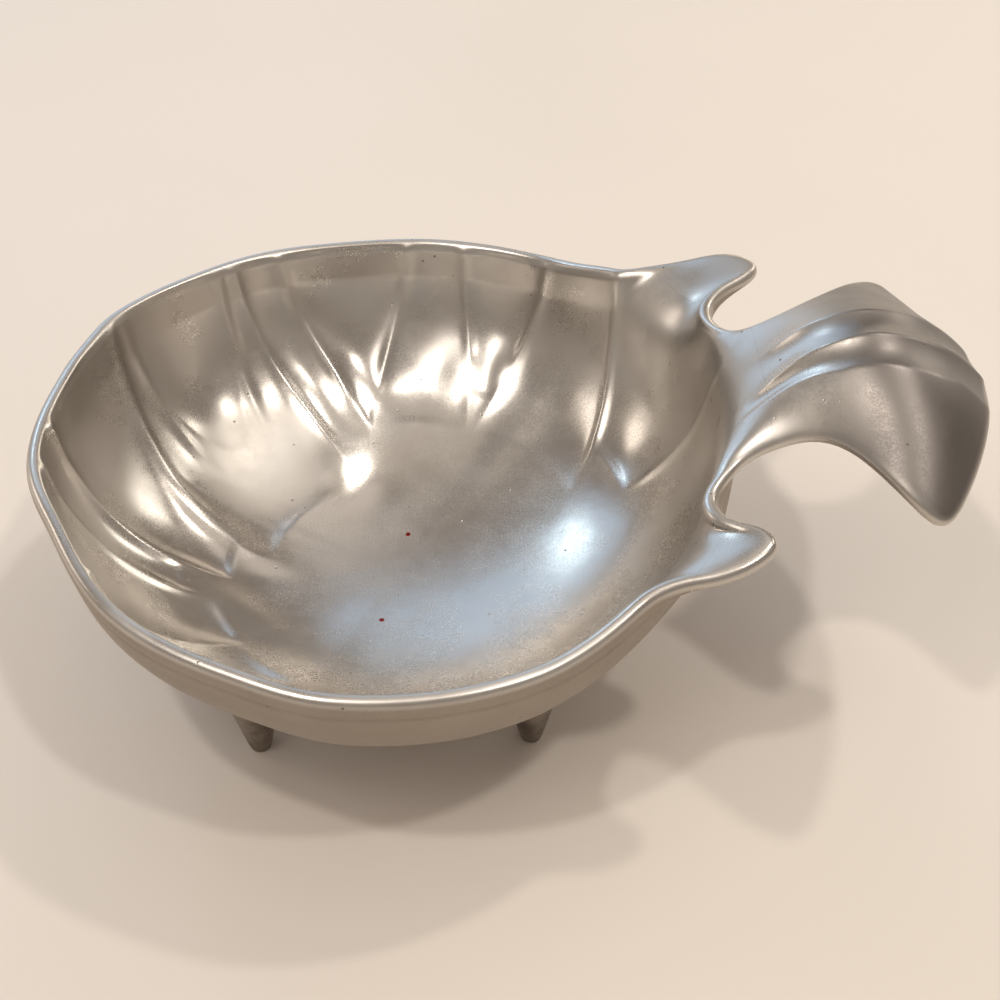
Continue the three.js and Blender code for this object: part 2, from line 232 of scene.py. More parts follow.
# How far relief reaches over the round edge, by the side value, which is 1 on top, 0 at the
# outermost edge and -1 underneath: where it starts and the span in which it grows
FLUTE_SIDE = (0.55, 0.44)
RIB_SIDE = (0.35, 0.6)
FLAT_SIDE = 0.99  # beyond it a place isn't on the round edge

# Up to this share of the radius the bowl is put back on its exact form, then less and less
EXACT_SHARE = 0.72
EXACT_FADE = 0.22

PLACE_DIGITS = 7  # to recognise a vertex of the whole casting in a cut piece


def clamp01(t):
    return np.clip(t, 0.0, 1.0)


def smooth(t):
    t = clamp01(t)
    return t * t * (3 - 2 * t)


def lerp(a, b, t):
    return a + (b - a) * t


def polar(angle, reach, height):
    a = math.radians(angle)
    return np.array([reach * math.cos(a), reach * math.sin(a), height], float)


def angle_of(p):
    return math.degrees(math.atan2(p[1], p[0]))


def rim_lift(angle):
    from_tail = np.abs((np.asarray(angle, float) + 180) % 360 - 180)
    climb = smooth((TAIL_LIFT_START - from_tail) / (TAIL_LIFT_START - TAIL_LIFT_END))
    return TAIL_LIFT * climb + NOSE_LIFT * smooth(1 - (180 - from_tail) / NOSE_SPREAD)


def rim_reach(angle):
    a = np.asarray(angle, float) % 360
    at = np.array([w[0] for w in RIM_WAVE], float)
    wave = np.array([w[1] for w in RIM_WAVE], float)
    k = np.clip(np.searchsorted(at, a, side="right"), 1, len(at) - 1)
    t = smooth((a - at[k - 1]) / (at[k] - at[k - 1]))
    inside = (a >= at[0]) & (a < at[-1])
    return BOWL_RADIUS + np.where(inside, lerp(wave[k - 1], wave[k], t), wave[0])


def bowl_point(angle, phi):
    s = math.sin(math.radians(phi))
    c = max(math.cos(math.radians(phi)), 0)
    reach = (float(rim_reach(angle)) - WALL / 2) * s**WALL_FULLNESS
    drop = (BOWL_DEPTH - WALL / 2) * c**WALL_FULLNESS
    return polar(angle, reach, float(rim_lift(angle)) * s**LIFT_FADE - drop)


def flute_depth(x, y):
    """Depth of the flutes at places in plan, less the beads along their ridges."""
    inward = 1 - np.hypot(x, y) / (BOWL_RADIUS - WALL / 2)
    angle = np.degrees(np.arctan2(y, x)) % 360
    run_out = smooth(1 + inward / FLUTE_RUN_OUT)
    per_degree = np.radians(1) * np.hypot(x, y)
    deepest = np.zeros_like(inward)
    bead = np.zeros_like(inward)
    for start, stop, from_turn, to_turn, reach, depth in FLUTES:
        along = np.maximum(inward / reach, 0)
        low = start + from_turn * along
        high = stop + to_turn * along
        across = (angle - low) / (high - low)
        fall = lerp(FLUTE_AT_RIM, 1, smooth(along / FLUTE_FALL))
        end = np.sqrt(np.maximum(1 - along**FLUTE_BLUNTNESS, 0))
        trough = np.sin(np.pi * clamp01(across)) ** FLUTE_SHARPNESS
        here = (along < 1) & (across > 0) & (across < 1)
        deepest = np.maximum(deepest, np.where(here, depth * fall * end * trough * run_out, 0))
        fade = 1 - smooth((along - RIDGE_FADE) / (1 - RIDGE_FADE))
        for edge in (low, high):
            away = np.abs(angle - edge) * per_degree / RIDGE_WIDTH
            bead = np.maximum(bead, np.exp(-away * away) * fade)
    bead = bead * lerp(RIDGE_AT_RIM, 1, smooth(inward / RIDGE_GROWTH))
    return deepest * FLUTE_CRISPNESS - bead * RIDGE_HEIGHT * run_out


# Broad swellings where ridges run out on the bowl's floor: places in plan, height, half width
SWELLINGS = [
    ([(-30, 68), (-26, 65), (-19, 60), (-12, 52), (-8, 45)], 0.7, 4.5),
    ([(-37, 58), (-30, 54), (-23, 43), (-16, 33), (-11, 28), (-2, 22)], 0.8, 5.0),
    ([(-59, 23), (-54, 16), (-45, 10), (-36, 2), (-26, -3), (-13, -10)], 0.6, 4.5),
    ([(-54, -3), (-50, -8), (-38, -18), (-28, -25), (-16, -29)], 0.5, 4.5),
]
SWELLING_GROWTH = 0.5
SWELLING_FADE = 0.6


def swelling(x, y):
    """Height of the broad swellings, each growing from its first place and dying at its last."""
    total = np.zeros_like(x)
    for line, high, width in SWELLINGS:
        best = np.full_like(x, 1e9)
        share = np.zeros_like(x)
        for k, ((ax, ay), (bx, by)) in enumerate(zip(line, line[1:])):
            ux, uy = bx - ax, by - ay
            t = clamp01(((x - ax) * ux + (y - ay) * uy) / (ux * ux + uy * uy))
            away = np.hypot(x - ax - t * ux, y - ay - t * uy)
            share = np.where(away < best, (k + t) / (len(line) - 1), share)
            best = np.minimum(best, away)
        growth = smooth(share / SWELLING_GROWTH)
        fade = 1 - smooth((share - SWELLING_FADE) / (1 - SWELLING_FADE))
        total = np.maximum(total, high * growth * fade * np.exp(-((best / width) ** 2)))
    return total


# Small facets at the flutes' ends, fitted so that this scene's lamps glint where the photo's
# do; they aren't seen as shapes in the photo. Place in plan, rise to the right and away
# against the plain bowl, half width
FACETS = [
    ((-9, 53), (-0.21, -0.16), 8),
    ((-12, 31), (-0.21, 0.09), 8),
    ((18, 58), (-0.03, 0.04), 6.5),
    ((28, 56), (-0.14, 0.03), 5),
]


def facet_relief(x, y, relief):
    """The relief with the facets blended in."""
    for (cx, cy), (rise_x, rise_y), width in FACETS:
        away = np.hypot(x - cx, y - cy)
        level = relief[np.argmin(away)]
        flat = level - rise_x * (x - cx) - rise_y * (y - cy)
        relief = lerp(relief, flat, np.exp(-((away / width) ** 2)))
    return relief


def fin_point(p):
    return polar(p[0], BOWL_RADIUS + p[1], TAIL_LIFT + p[2])


def tail_corner(p):
    return np.array([BOWL_RADIUS + p[0], p[1], TAIL_LIFT + p[2]], float)


def tail_point(row, across, along):
    near, crest, far = [tail_corner(p) for p in row]
    p = near * (2 * (across - 0.5) * (across - 1))
    p = p + crest * (4 * across * (1 - across)) + far * (2 * across * (across - 0.5))
    p[2] += TAIL_LEAN * along * along * math.sin(2 * math.pi * across)
    return p


def rim_edge(angle):
    return polar(angle, float(rim_reach(angle)) - WALL / 2, float(rim_lift(angle)) - WALL / 2)


class Curve:
    """A centripetal Catmull-Rom curve through points, followed by its length."""

    STEPS = 200

    def __init__(self, points):
        self.points = [np.array(p, float) for p in points]
        samples = [self.at(i / self.STEPS) for i in range(self.STEPS + 1)]
        pieces = [np.linalg.norm(b - a) for a, b in zip(samples, samples[1:])]
        self.lengths = np.concatenate([[0], np.cumsum(pieces)])

    def at(self, t):
        pts = self.points
        count = len(pts)
        place = (count - 1) * t
        k = min(int(place), count - 2)
        w = place - k
        p1, p2 = pts[k], pts[k + 1]
        p0 = pts[k - 1] if k > 0 else 2 * pts[0] - pts[1]
        p3 = pts[k + 2] if k + 2 < count else 2 * pts[-1] - pts[-2]
        d0, d1, d2 = [np.linalg.norm(b - a) ** 0.5 for a, b in ((p0, p1), (p1, p2), (p2, p3))]
        t1 = ((p1 - p0) / d0 - (p2 - p0) / (d0 + d1) + (p2 - p1) / d1) * d1
        t2 = ((p2 - p1) / d1 - (p3 - p1) / (d1 + d2) + (p3 - p2) / d2) * d1
        c2 = -3 * p1 + 3 * p2 - 2 * t1 - t2
        c3 = 2 * p1 - 2 * p2 + t1 + t2
        return p1 + t1 * w + c2 * w * w + c3 * w**3

    def at_length(self, u):
        t = np.interp(u * self.lengths[-1], self.lengths, np.linspace(0, 1, self.STEPS + 1))
        return self.at(float(t))


def make_columns():
    """Columns of the middle surface: angle, where the lip ends, roll, bend, place on the tail."""
    near_notch = tail_corner(TAIL[0][0])
    far_notch = tail_corner(TAIL[0][2])
    near_fin = Curve([rim_edge(NEAR_JOIN), *map(fin_point, FIN_NEAR), near_notch])
    far_fin = Curve([far_notch, *map(fin_point, FIN_FAR), rim_edge(FAR_JOIN)])
    columns = []

    def add(angle, end, roll, blend, bend, across=None):
        rolled = float(smooth(min(roll, 1 - roll) / blend))
        columns.append((angle, end, rolled, bend, across))

    for i in range(RIM_COLUMNS):
        angle = lerp(FAR_JOIN, 360 + NEAR_JOIN, i / RIM_COLUMNS)
        add(angle, rim_edge(angle), 0, FIN_BLEND, FIN_BEND)
    for i in range(FIN_COLUMNS):
        t = i / FIN_COLUMNS
        angle = lerp(NEAR_JOIN, angle_of(near_notch), t)
        add(angle, near_fin.at_length(t), t, FIN_BLEND, FIN_BEND)
    for i in range(TAIL_COLUMNS + 1):
        t = i / TAIL_COLUMNS
        angle = lerp(angle_of(near_notch), angle_of(far_notch), t)
        add(angle, tail_point(TAIL[0], t, 0), t, TAIL_BLEND, TAIL_BEND, t)
    for i in range(1, FIN_COLUMNS):
        t = i / FIN_COLUMNS
        angle = lerp(angle_of(far_notch), FAR_JOIN, t)
        add(angle, far_fin.at_length(t), t, FIN_BLEND, FIN_BEND)
    return columns


def soften(points, columns, grid):
    for _ in range(SOFT_PASSES):
        moved = {}
        for i in range(RIM_COLUMNS, len(grid)):
            before, column, after = grid[i - 1], grid[i], grid[(i + 1) % len(grid)]
            last = RIM_ROW + SOFT_TAIL_ROWS
            inner = min(len(before), len(column), len(after), last + 1) - 1
            for row in range(BOWL_ROWS - 1, inner):
                around = (column[row - 1], column[row + 1], before[row], after[row])
                mean = sum(points[k] for k in around) / 4
                moved[column[row]] = lerp(points[column[row]], mean, columns[i][2] / 2)
        for k, p in moved.items():
            points[k] = p


def make_sheet():
    columns = make_columns()
    points = [bowl_point(0, 0)]
    rows = [0.0]
    across_of = [0.5]
    rolls = [0.0]
    grid = []
    for angle, end, roll, bend, across in columns:
        column = []

        def put(p, row):
            points.append(p)
            rows.append(float(row))
            across_of.append(0.5 if across is None else across)
            rolls.append(roll)
            column.append(len(points) - 1)

        for row in range(1, BOWL_ROWS + 1):
            put(bowl_point(angle, LAST_BOWL_ROW * row / BOWL_ROWS), row)
        start = points[column[-1]]
        rolled = polar(angle, BOWL_RADIUS - bend[0], TAIL_LIFT + bend[1])
        control = lerp(lerp(start, end, 0.5), rolled, roll)
        for k, t in enumerate(LIP_ROWS):
            p = start * (1 - t) ** 2 + control * 2 * t * (1 - t) + end * t * t
            put(p, BOWL_ROWS + 1 + k)
        if across is not None:
            for row in range(1, len(TAIL)):
                p = tail_point(TAIL[row], across, row / (len(TAIL) - 1))
                put(p, BOWL_ROWS + len(LIP_ROWS) + row)
        grid.append(column)

    soften(points, columns, grid)
    faces = []
    for i, column in enumerate(grid):
        after = grid[(i + 1) % len(grid)]
        faces.append((0, column[0], after[0]))
        for row in range(1, min(len(column), len(after))):
            faces.append((column[row - 1], column[row], after[row], after[row - 1]))
    first = RIM_COLUMNS + FIN_COLUMNS
    last = first + TAIL_COLUMNS
    outline = [column[RIM_ROW] for column in grid[:first]]
    outline += grid[first][RIM_ROW:]
    outline += [column[-1] for column in grid[first + 1 : last]]
    outline += grid[last][RIM_ROW:][::-1]
    outline += [column[RIM_ROW] for column in grid[last + 1 :]]
    return np.array(points), faces, outline, np.array(rows), np.array(across_of), np.array(rolls)


def triangles_of(faces):
    out = []
    for face in faces:
        out.append((face[0], face[1], face[2]))
        if len(face) == 4:
            out.append((face[0], face[2], face[3]))
    return np.array(out)


def unit(v):
    return v / np.maximum(np.linalg.norm(v, axis=-1, keepdims=True), 1e-12)


def thickness_directions(points, triangles):
    a, b, c = (points[triangles[:, k]] for k in range(3))
    flat = np.cross(b - a, c - a)
    directions = np.zeros_like(points)
    for k in range(3):
        np.add.at(directions, triangles[:, k], flat)
    directions = unit(directions)
    for _ in range(DIRECTION_PASSES):
        mean = sum(directions[triangles[:, k]] for k in range(3))
        evened = np.zeros_like(points)
        for k in range(3):
            np.add.at(evened, triangles[:, k], mean)
        directions = unit(evened)
    return directions


def add_values(mesh, name, values):
    mesh.attributes.new(name, "FLOAT", "POINT").data.foreach_set("value", values)


def get_values(mesh, name):
    values = np.zeros(len(mesh.vertices), np.float32)
    mesh.attributes[name].data.foreach_get("value", values)
    return values


def make_object(name, points, faces):
    mesh = bpy.data.meshes.new(name)
    mesh.from_pydata([tuple(p) for p in points], [], [tuple(f) for f in faces])
    obj = bpy.data.objects.new(name, mesh)
    bpy.context.scene.collection.objects.link(obj)
    return obj


def evaluated(obj):
    """A new mesh with the object's modifiers applied."""
    bpy.context.view_layer.update()
    graph = bpy.context.evaluated_depsgraph_get()
    return bpy.data.meshes.new_from_object(obj.evaluated_get(graph), depsgraph=graph)


def coordinates(mesh):
    co = np.zeros(len(mesh.vertices) * 3, np.float32)
    mesh.vertices.foreach_get("co", co)
    return co.reshape(-1, 3).astype(float)


def vertex_normals(mesh):
    out = np.zeros(len(mesh.vertices) * 3, np.float32)
    mesh.vertex_normals.foreach_get("vector", out)
    return out.reshape(-1, 3).astype(float)


def to_frame(p):
    """Millimetres about the bowl's axis to metres in the part's frame."""
    return np.asarray(p, float) * MM + np.array([AXIS_X, AXIS_Y, RIM_PLANE])


def tail_channels(along, across):
    """Depth of the shallow channels along the tail's top, between its ribs."""
    lines = [np.interp(along, *zip(*rib)) for rib in TAIL_RIBS]
    lines.append(np.full_like(along, TAIL_CHANNEL_EDGE))
    depth = np.zeros_like(along)
    for low, high, deep in zip(lines, lines[1:], TAIL_CHANNEL_DEPTHS):
        t = (across - low) / (high - low)
        trough = np.sin(np.pi * clamp01(t)) ** FLUTE_SHARPNESS
        depth = np.maximum(depth, np.where((t > 0) & (t < 1), deep * trough, 0))
    return depth * smooth((along - TAIL_RIB_START) / TAIL_RIB_GROWTH)


def make_casting():
    """The whole casting, closed, subdivided and dressed, as a mesh in the part's frame."""
    points, faces, outline, rows, across, rolls = make_sheet()
    normals = thickness_directions(points, triangles_of(faces))
    half = WALL / 2
    count = len(points)
    solid = [*(points + normals * half), *(points - normals * half)]
    side = [1.0] * count + [-1.0] * count
    row_of = [*rows, *rows]
    across_of = [*across, *across]
    roll_of = [*rolls, *rolls]
    quads = list(faces) + [tuple(count + k for k in reversed(face)) for face in faces]
    loops = [list(outline)]
    for step in range(1, EDGE_STEPS):
        turn = math.pi * (0.5 - step / EDGE_STEPS)
        loop = []
        for i, k in enumerate(outline):
            before, after = points[outline[i - 1]], points[outline[(i + 1) % len(outline)]]
            outward = unit(np.cross(after - before, normals[k]))
            reach = half * EDGE_BULGE
            p = points[k] + outward * reach * math.cos(turn) + normals[k] * reach * math.sin(turn)
            solid.append(p)
            side.append(math.sin(turn))
            row_of.append(rows[k])
            across_of.append(across[k])
            roll_of.append(rolls[k])
            loop.append(len(solid) - 1)
        loops.append(loop)
    loops.append([count + k for k in outline])
    for upper, lower in zip(loops, loops[1:]):
        for i in range(len(upper)):
            j = (i + 1) % len(upper)
            quads.append((upper[i], lower[i], lower[j], upper[j]))

    cage = make_object("casting_cage", solid, quads)
    values = {"side": side, "row": row_of, "across": across_of, "roll": roll_of}
    for name, value in values.items():
        add_values(cage.data, name, value)
    subdivide = cage.modifiers.new("subdivide", "SUBSURF")
    subdivide.levels = subdivide.render_levels = SUBDIVISIONS
    mesh = evaluated(cage)
    bpy.data.objects.remove(cage)

    p = coordinates(mesh)
    side, row, across, roll = (get_values(mesh, name) for name in values)
    normal = vertex_normals(mesh)

    # The bowl below its lip, back on its exact form, so that the many facets that meet at the
    # bottom leave no mark
    angle = np.degrees(np.arctan2(p[:, 1], p[:, 0]))
    middle_reach = rim_reach(angle) - WALL / 2
    base = p - normal * half
    share = np.clip(np.hypot(base[:, 0], base[:, 1]) / middle_reach, 0, 1)
    sine = share ** (1 / WALL_FULLNESS)
    cosine = np.sqrt(np.maximum(1 - sine * sine, 0))
    exact = rim_lift(angle) * sine**LIFT_FADE
    exact = exact - (BOWL_DEPTH - WALL / 2) * cosine**WALL_FULLNESS
    keep = 1 - smooth((share - EXACT_SHARE) / EXACT_FADE)
    keep = keep * (np.abs(side) > FLAT_SIDE) * (row < BOWL_ROWS - 1)
    p[:, 2] += (exact - base[:, 2]) * keep

    # Flutes inside, fading over the round edge
    inside = smooth((side - FLUTE_SIDE[0]) / FLUTE_SIDE[1])
    relief = flute_depth(p[:, 0], p[:, 1]) - swelling(p[:, 0], p[:, 1])
    relief = facet_relief(p[:, 0], p[:, 1], relief)
    p -= normal * (relief * inside)[:, None]

    # Ribs along the tail's top
    along = (row - RIM_ROW) / (len(TAIL) - 1)
    on_top = smooth((side - RIB_SIDE[0]) / RIB_SIDE[1])
    p -= normal * (tail_channels(along, across) * on_top)[:, None]

    # A groove under the bead of the rim, outside
    groove = np.exp(-(((row - GROOVE_ROW) / GROOVE_WIDTH) ** 2))
    groove = groove * (side < -FLAT_SIDE) * (1 - smooth(roll / GROOVE_END))
    p -= normal * (groove * GROOVE_DEPTH)[:, None]

    mesh.vertices.foreach_set("co", to_frame(p).astype(np.float32).ravel())
    mesh.update()
    mesh.shade_smooth()
    return mesh


def seat_block(azimuth, from_ray, to_ray, reach):
    """Everything beyond a seat face, between two rays from the bowl's axis."""

    def corner(ray, out):
        distance = out / math.cos(math.radians(ray - azimuth))
        return polar(ray, distance, 0)

    plan = [
        corner(from_ray, reach),
        corner(from_ray, SEAT_SPAN),
        corner(to_ray, SEAT_SPAN),
        corner(to_ray, reach),
    ]
    low = [to_frame(p - np.array([0, 0, SEAT_SPAN])) for p in plan]
    high = [to_frame(p + np.array([0, 0, SEAT_SPAN])) for p in plan]
    faces = [(3, 2, 1, 0), (4, 5, 6, 7)]
    faces += [(k, (k + 1) % 4, 4 + (k + 1) % 4, 4 + k) for k in range(4)]
    return make_object("seat_block", [*low, *high], faces)


def cut(obj, block, operation):
    step = obj.modifiers.new("cut", "BOOLEAN")
    step.operation = operation
    step.solver = "MANIFOLD"
    step.object = block


def carry_normals(mesh, whole, tree):
    """Shades a cut piece like the whole casting, so that a seam doesn't show."""
    known = {}
    for p, n in zip(np.round(coordinates(whole), PLACE_DIGITS), vertex_normals(whole)):
        known[tuple(p)] = n
    normals = vertex_normals(mesh)
    vertex_count = len(mesh.vertices)
    on_cut = np.zeros(vertex_count, bool)
    for i, p in enumerate(np.round(coordinates(mesh), PLACE_DIGITS)):
        found = known.get(tuple(p))
        if found is None:
            on_cut[i] = True
            place, flat, face, _ = tree.find_nearest(Vector(p))
            corners = whole.polygons[face].vertices
            weights = [1 / max((whole.vertices[k].co - place).length, 1e-7) for k in corners]
            mixed = sum((whole.vertices[k].normal * w for k, w in zip(corners, weights)), Vector())
            found = np.array(mixed.normalized())
        normals[i] = found
    loop_vertices = np.zeros(len(mesh.loops), np.int32)
    mesh.loops.foreach_get("vertex_index", loop_vertices)
    loop_normals = normals[loop_vertices]
    for polygon in mesh.polygons:
        span = slice(polygon.loop_start, polygon.loop_start + polygon.loop_total)
        if on_cut[loop_vertices[span]].all():
            loop_normals[span] = np.array(polygon.normal)
    mesh.normals_split_custom_set(loop_normals.tolist())


def make_castings():
    """The bowl, the tail and the fins, each a closed piece."""
    whole = make_casting()
    tree_mesh = bmesh.new()
    tree_mesh.from_mesh(whole)
    tree = BVHTree.FromBMesh(tree_mesh)
    tree_mesh.free()
    arms = [
        ("tail_handle", 0, NEAR_NOTCH_RAY, FAR_NOTCH_RAY),
        ("fin_near", NEAR_FIN_AZIMUTH, NEAR_NOTCH_RAY - FIN_SPREAD, NEAR_NOTCH_RAY),
        ("fin_far", FAR_FIN_AZIMUTH, FAR_NOTCH_RAY, FAR_NOTCH_RAY + FIN_SPREAD),
    ]
    made = {}
    bowl = bpy.data.objects.new("bowl_cast", whole.copy())
    bpy.context.scene.collection.objects.link(bowl)
    blocks = []
    for name, azimuth, from_ray, to_ray in arms:
        inner = seat_block(azimuth, from_ray, to_ray, SEAT_CUT - SEAT_GAP / 2)
        cut(bowl, inner, "DIFFERENCE")
        outer = seat_block(azimuth, from_ray, to_ray, SEAT_CUT + SEAT_GAP / 2)
        arm = bpy.data.objects.new(name + "_cast", whole.copy())
        bpy.context.scene.collection.objects.link(arm)
        cut(arm, outer, "INTERSECT")
        made[name] = arm
        blocks += [inner, outer]
    made["bowl"] = bowl
    for obj in made.values():
        mesh = evaluated(obj)
        obj.modifiers.clear()
        obj.data = mesh
        carry_normals(mesh, whole, tree)
    for block in blocks:
        bpy.data.objects.remove(block)
    return made, tree


def make_foot(name, azimuth, tree):
    """A tapered peg with a rounded sole, its top shaped to the bowl's underside."""
    centre = to_frame(polar(azimuth, FOOT_CIRCLE, 0))
    turns = [2 * math.pi * i / FOOT_SIDES for i in range(FOOT_SIDES)]
    points = []
    rings = []

    def place(turn, radius):
        return centre[0] + radius * math.cos(turn), centre[1] + radius * math.sin(turn)

    def underside(x, y):
        hit = tree.ray_cast(Vector((x, y, FOOT_RAY_START)), Vector((0, 0, 1)))
        return hit[0].z - FOOT_GAP

    def add_ring(radii, heights):
        ring = []
        for turn, radius, height in zip(turns, radii, heights):
            ring.append(len(points))
            points.append((*place(turn, radius), height))
        rings.append(ring)

    middle = underside(centre[0], centre[1])
    slope = (FOOT_TOP_RADIUS - FOOT_SOLE_RADIUS) * MM / middle

    def full_radius(height):
        """The peg's radius where it meets the bowl at a height."""
        return FOOT_SOLE_RADIUS * MM + slope * height + FOOT_FLARE * MM

    for step in range(FOOT_SOLE_STEPS + 1):
        turn = math.pi / 2 * step / FOOT_SOLE_STEPS
        radius = FOOT_SOLE_RADIUS - FOOT_SOLE_ROUND * (1 - math.sin(turn))
        height = FOOT_SOLE_ROUND * (1 - math.cos(turn))
        add_ring([radius * MM] * FOOT_SIDES, [height * MM] * FOOT_SIDES)

    tops = []
    for turn in turns:
        top = middle
        for _ in range(FOOT_TOP_TRIES):
            top = underside(*place(turn, full_radius(top)))
        tops.append(top)
    start = FOOT_SOLE_ROUND * MM
    for row in range(1, FOOT_ROWS + 1):
        t = 1 - (1 - row / FOOT_ROWS) ** FOOT_ROW_CROWDING
        heights = [lerp(start, top, t) for top in tops]
        radii = []
        for height, top in zip(heights, tops):
            flare = FOOT_FLARE * MM * math.exp(-(top - height) / (FOOT_FLARE_FADE * MM))
            radii.append(FOOT_SOLE_RADIUS * MM + slope * height + flare)
        add_ring(radii, heights)
    for share in FOOT_TOP_SHARES:
        radii = [full_radius(top) * share for top in tops]
        add_ring(radii, [underside(*place(turn, radius)) for turn, radius in zip(turns, radii)])

    sole = len(points)
    points.append((centre[0], centre[1], 0))
    top = len(points)
    points.append((centre[0], centre[1], middle))
    faces = []
    for i in range(FOOT_SIDES):
        j = (i + 1) % FOOT_SIDES
        faces.append((sole, rings[0][j], rings[0][i]))
        faces.append((top, rings[-1][i], rings[-1][j]))
        for lower, upper in zip(rings, rings[1:]):
            faces.append((lower[i], lower[j], upper[j], upper[i]))
    foot = make_object(name + "_peg", points, faces)
    foot.data.shade_smooth()
    return foot


class Nodes:
    """A new material with one shader, and short ways to build its nodes."""

    def __init__(self, name):
        self.material = bpy.data.materials.new(name)
        self.material.use_nodes = True
        self.tree = self.material.node_tree
        self.tree.nodes.clear()
        self.place = self.add("ShaderNodeTexCoord").outputs["Object"]
        shader = self.add("ShaderNodeBsdfPrincipled")
        output = self.add("ShaderNodeOutputMaterial")
        self.link(shader.outputs[0], output.inputs[0])
        self.inputs = shader.inputs

    def add(self, kind, **settings):
        node = self.tree.nodes.new(kind)
        for key, value in settings.items():
            setattr(node, key, value)
        return node

    def link(self, source, target):
        if isinstance(source, bpy.types.NodeSocket):
            self.tree.links.new(source, target)
        else:
            target.default_value = source

    def math(self, operation, a, b=0.0):
        node = self.add("ShaderNodeMath", operation=operation)
        self.link(a, node.inputs[0])
        self.link(b, node.inputs[1])
        return node.outputs[0]

    def plus(self, total, value, factor):
        return self.math("ADD", total, self.math("MULTIPLY", value, factor))

    def noise(self, scale, detail=3.0, roughness=0.5, stretch=(1, 1, 1), turn=(0, 0, 0)):
        mapping = self.add("ShaderNodeMapping")
        mapping.inputs["Scale"].default_value = stretch
        mapping.inputs["Rotation"].default_value = turn
        self.link(self.place, mapping.inputs["Vector"])
        node = self.add("ShaderNodeTexNoise")
        node.inputs["Scale"].default_value = scale
        node.inputs["Detail"].default_value = detail
        node.inputs["Roughness"].default_value = roughness
        self.link(mapping.outputs[0], node.inputs["Vector"])
        return node.outputs["Fac"]

    def step(self, value, low, high, to_low=0.0, to_high=1.0):
        node = self.add("ShaderNodeMapRange", interpolation_type="SMOOTHSTEP")
        self.link(value, node.inputs["Value"])
        node.inputs["From Min"].default_value = low
        node.inputs["From Max"].default_value = high
        node.inputs["To Min"].default_value = to_low
        node.inputs["To Max"].default_value = to_high
        return node.outputs["Result"]

    def mix(self, share, a, b):
        node = self.add("ShaderNodeMix", data_type="RGBA")
        self.link(share, node.inputs[0])
        self.link((*a, 1.0) if isinstance(a, tuple) else a, node.inputs[6])
        self.link((*b, 1.0) if isinstance(b, tuple) else b, node.inputs[7])
        return node.outputs[2]

    def streaks(self, scale, turn, gate):
        """Fine straight polishing marks in one direction, in patches, about zero."""
        line = self.noise(scale, 1.0, 0.5, stretch=(1, 0.025, 0.5), turn=turn)
        patch = self.step(self.noise(gate, 2.0), 0.42, 0.6)
        return self.math("MULTIPLY", self.math("SUBTRACT", line, 0.5), patch)

    def near(self, place, radius):
        """One near a place, zero beyond the radius, in metres."""
        node = self.add("ShaderNodeVectorMath", operation="DISTANCE")
        self.link(self.place, node.inputs[0])
        node.inputs[1].default_value = place
        return self.step(node.outputs["Value"], radius * NEAR_CORE, radius, 1.0, 0.0)

    def bump(self, height):
        """Height in metres, as small relief in the shading."""
        node = self.add("ShaderNodeBump")
        node.inputs["Strength"].default_value = 1.0
        node.inputs["Distance"].default_value = 1.0
        self.link(height, node.inputs["Height"])
        self.link(node.outputs[0], self.inputs["Normal"])


# The polished metal's tones; the tail's top and the outside are darkened with painted shade
METAL_DARK = (0.56, 0.525, 0.485)
METAL_LIGHT = (0.64, 0.61, 0.575)
METAL_HAZE = (0.48, 0.44, 0.39)
OUTSIDE_TONE_AND_SHADE = (0.40, 0.352, 0.305)
TAIL_PAINTED_SHADE = (0.19, 0.17, 0.158)
PIT_TONE = (0.10, 0.07, 0.05)
SPECK_TONE = (0.28, 0.02, 0.015)
HAZE_SHARE = 0.35
TAIL_SHADE_SHARE = 0.95
PIT_SHARE = 0.75

# Where the tail's painted shade and its added roughness set in along X, in metres
TAIL_TONE_FROM = 0.064
TAIL_TONE_TO = 0.08

# Its roughness, and what is added near the rim, on the tail, in the hazy patch and outside
ROUGHNESS = (0.20, 0.30)
FINE_ROUGHNESS = (-0.02, 0.03)
RIM_ROUGHNESS = 0.07
TAIL_ROUGHNESS = 0.10
HAZY_ROUGHNESS = 0.24
OUTSIDE_ROUGHNESS = 0.30

# Its fine relief, in metres high
SWELL_HEIGHT = 0.00007
BRUSH_HEIGHT = 0.00001
MARK_HEIGHT = 0.000005
PIT_DEPTH = 0.00008

# Hairline marks: fineness, turn of their direction, size of their patches
MARKS = [
    (2600, (0.2, 0.1, 0.3), 60),
    (2200, (-0.3, 0.2, 1.2), 75),
    (2800, (0.1, -0.3, 2.2), 50),
    (2400, (0.4, 0.1, -0.7), 90),
]

NEAR_CORE = 0.6  # the share of a radius within which Nodes.near is full

# The part of the bowl that carries hairline marks: place and radius, in metres
MARKED_PART = ((AXIS_X, AXIS_Y, 0.012), 0.085)

# A hazier patch on the bowl's floor, fitted to dim a lamp's reflection that is weaker in the
# photo: place in the part's frame and radius, in metres
HAZY_PATCH = ((-0.0626, 0.0318, 0.0210), 0.021)

# Two small red specks on the bowl's floor: place in the part's frame and radius, in metres
RED_SPECKS = [
    ((-0.0237, 0.0113, 0.0148), 0.0008),
    ((-0.0287, -0.0190, 0.0154), 0.0008),
]

SATIN_DARK = (0.20, 0.17, 0.145)
SATIN_LIGHT = (0.33, 0.29, 0.25)
SATIN_ROUGHNESS = (0.38, 0.52)
SATIN_GRAIN = 0.00003

FLOOR_TONE = (0.80, 0.735, 0.67)
FLOOR_CLOUDS = 0.97
FLOOR_ROUGHNESS = 0.5
FLOOR_SHEEN = 0.3
FLOOR_HALF = 4


